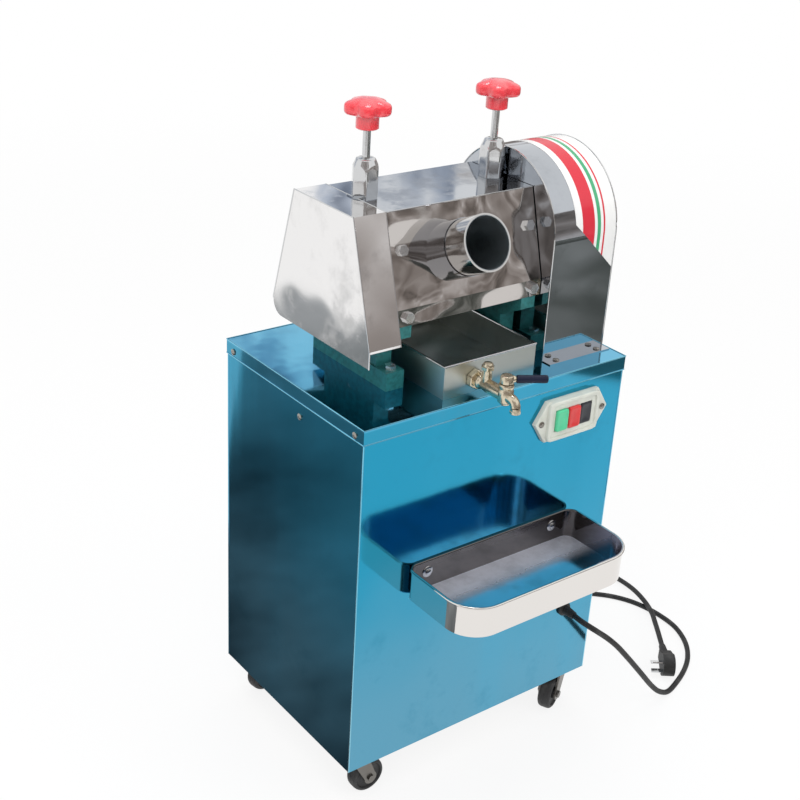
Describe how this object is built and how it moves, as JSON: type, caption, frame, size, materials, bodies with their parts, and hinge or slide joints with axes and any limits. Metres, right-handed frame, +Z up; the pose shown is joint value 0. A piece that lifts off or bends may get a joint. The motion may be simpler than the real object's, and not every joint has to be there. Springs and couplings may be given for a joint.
{
  "type": "electric sugarcane juicer",
  "caption": "Electric sugarcane juicer: sheet cabinet on casters with a roller press head, gear housing, feed tube, juice trough with tap, cup tray and power cord.",
  "frame": {"origin": "middle of the footprint at floor level, cord left out", "axes": "+X to the machine's right, +Y to its rear, +Z up"},
  "size_m": [0.7463, 0.4546, 0.9516],
  "materials": {
    "blue_sheet": "glossy blue film over bright stainless sheet",
    "stainless": "bright stainless sheet",
    "polished_steel": "polished steel",
    "green_paint": "green painted casting",
    "machined_steel": "machined steel",
    "cast_pulley": "grey casting",
    "motor_paint": "grey paint",
    "bronze": "plain bearing bronze",
    "zinc_steel": "zinc plated sheet",
    "wheel_black": "matt black",
    "white_plastic": "off-white",
    "green_plastic": "green",
    "red_plastic": "red",
    "black_plastic": "black",
    "grip_black": "dark blue-black",
    "brass": "polished brass",
    "rubber_black": "black rubber"
  },
  "bodies": {
    "cabinet": {"base_plate": "stainless", "front_panel": "blue_sheet", "left_panel": "blue_sheet", "right_panel": "blue_sheet", "rear_panel": "blue_sheet", "top_cover": "blue_sheet", "panel_screws": "polished_steel", "hex_bolts": "polished_steel", "caster_plates": "zinc_steel", "cup_tray": "stainless", "switch_plate": "white_plastic", "left_frame": "green_paint", "right_frame": "green_paint", "tie_bars": "machined_steel", "bearing_blocks": "machined_steel", "bushes": "bronze", "left_cover": "stainless", "front_cover": "stainless", "top_plate": "stainless", "rear_cover": "stainless", "outlet_chute": "stainless", "feed_sleeve": "polished_steel", "feed_tube": "polished_steel", "gear_housing": "stainless", "motor_body": "motor_paint", "drive_belt": "rubber_black", "hex_sleeves": "polished_steel", "juice_trough": "stainless", "tap_body": "brass", "cord_gland": "rubber_black", "power_cord": "rubber_black", "plug_body": "rubber_black", "plug_pins": "polished_steel"},
    "green_button": {"green_button": "green_plastic"},
    "red_button": {"red_button": "red_plastic"},
    "black_button": {"black_button": "black_plastic"},
    "tap_lever": {"tap_lever": "brass", "lever_grip": "grip_black"},
    "left_knob": {"left_knob": "red_plastic", "left_screw": "polished_steel"},
    "right_knob": {"right_knob": "red_plastic", "right_screw": "polished_steel"},
    "upper_roller": {"upper_roller": "machined_steel", "upper_gear": "machined_steel", "bull_gear": "machined_steel"},
    "front_roller": {"front_roller": "machined_steel", "front_gear": "machined_steel"},
    "rear_roller": {"rear_roller": "machined_steel", "rear_gear": "machined_steel"},
    "pinion_shaft": {"pinion_shaft": "machined_steel", "large_pulley": "cast_pulley"},
    "motor_pulley": {"motor_pulley": "cast_pulley"},
    "fork_front_left": {"fork_front_left": "zinc_steel"},
    "wheel_front_left": {"wheel_front_left": "wheel_black"},
    "fork_front_right": {"fork_front_right": "zinc_steel"},
    "wheel_front_right": {"wheel_front_right": "wheel_black"},
    "fork_rear_left": {"fork_rear_left": "zinc_steel"},
    "wheel_rear_left": {"wheel_rear_left": "wheel_black"},
    "fork_rear_right": {"fork_rear_right": "zinc_steel"},
    "wheel_rear_right": {"wheel_rear_right": "wheel_black"}
  },
  "joints": [
    {"name": "green_push", "type": "slide", "parent": "cabinet", "child": "green_button", "axis": [0, 1, 0], "range_m": [0, 0.003], "stiffness_N_per_m": 300},
    {"name": "red_push", "type": "slide", "parent": "cabinet", "child": "red_button", "axis": [0, 1, 0], "range_m": [0, 0.003], "stiffness_N_per_m": 300},
    {"name": "black_push", "type": "slide", "parent": "cabinet", "child": "black_button", "axis": [0, 1, 0], "range_m": [0, 0.002], "stiffness_N_per_m": 300},
    {"name": "tap_turn", "type": "hinge", "parent": "cabinet", "child": "tap_lever", "pos_m": [-0.037, -0.1393, 0.631], "axis": [0, 0, 1], "range_deg": [-60, 30]},
    {"name": "left_knob_turn", "type": "hinge", "parent": "cabinet", "child": "left_knob", "pos_m": [-0.12, 0.0622, 0.926], "axis": [0, 0, 1], "range_deg": [-360, 360]},
    {"name": "right_knob_turn", "type": "hinge", "parent": "cabinet", "child": "right_knob", "pos_m": [0.087, 0.0622, 0.926], "axis": [0, 0, 1], "range_deg": [-360, 360]},
    {"name": "upper_roller_spin", "type": "hinge", "parent": "cabinet", "child": "upper_roller", "pos_m": [0.18, 0.0622, 0.756], "axis": [1, 0, 0], "continuous": true},
    {"name": "front_roller_spin", "type": "hinge", "parent": "cabinet", "child": "front_roller", "pos_m": [0.18, 0.0232, 0.706], "axis": [1, 0, 0], "continuous": true},
    {"name": "rear_roller_spin", "type": "hinge", "parent": "cabinet", "child": "rear_roller", "pos_m": [0.18, 0.1012, 0.706], "axis": [1, 0, 0], "continuous": true},
    {"name": "pinion_shaft_spin", "type": "hinge", "parent": "cabinet", "child": "pinion_shaft", "pos_m": [0.18, 0.0622, 0.651], "axis": [1, 0, 0], "continuous": true},
    {"name": "motor_pulley_spin", "type": "hinge", "parent": "cabinet", "child": "motor_pulley", "pos_m": [0.18, 0.0622, 0.161], "axis": [1, 0, 0], "continuous": true},
    {"name": "swivel_front_left", "type": "hinge", "parent": "cabinet", "child": "fork_front_left", "pos_m": [-0.19, -0.0693, 0.057], "axis": [0, 0, 1], "continuous": true},
    {"name": "roll_front_left", "type": "hinge", "parent": "fork_front_left", "child": "wheel_front_left", "pos_m": [-0.172, -0.0693, 0.026], "axis": [0, 1, 0], "continuous": true},
    {"name": "swivel_front_right", "type": "hinge", "parent": "cabinet", "child": "fork_front_right", "pos_m": [0.19, -0.0693, 0.057], "axis": [0, 0, 1], "continuous": true},
    {"name": "roll_front_right", "type": "hinge", "parent": "fork_front_right", "child": "wheel_front_right", "pos_m": [0.17369, -0.07691, 0.026], "axis": [0.4226, -0.9063, 0], "continuous": true},
    {"name": "swivel_rear_left", "type": "hinge", "parent": "cabinet", "child": "fork_rear_left", "pos_m": [-0.19, 0.1987, 0.057], "axis": [0, 0, 1], "continuous": true},
    {"name": "roll_rear_left", "type": "hinge", "parent": "fork_rear_left", "child": "wheel_rear_left", "pos_m": [-0.17227, 0.20183, 0.026], "axis": [-0.1736, 0.9848, 0], "continuous": true},
    {"name": "swivel_rear_right", "type": "hinge", "parent": "cabinet", "child": "fork_rear_right", "pos_m": [0.19, 0.1987, 0.057], "axis": [0, 0, 1], "continuous": true},
    {"name": "roll_rear_right", "type": "hinge", "parent": "fork_rear_right", "child": "wheel_rear_right", "pos_m": [0.17227, 0.19557, 0.026], "axis": [0.1736, -0.9848, 0], "continuous": true}
  ],
  "couplings": [
    {"joint": "front_roller_spin", "follows": "upper_roller_spin", "ratio": -1},
    {"joint": "rear_roller_spin", "follows": "upper_roller_spin", "ratio": -1},
    {"joint": "pinion_shaft_spin", "follows": "upper_roller_spin", "ratio": -4.3846},
    {"joint": "motor_pulley_spin", "follows": "upper_roller_spin", "ratio": -12.527}
  ]
}
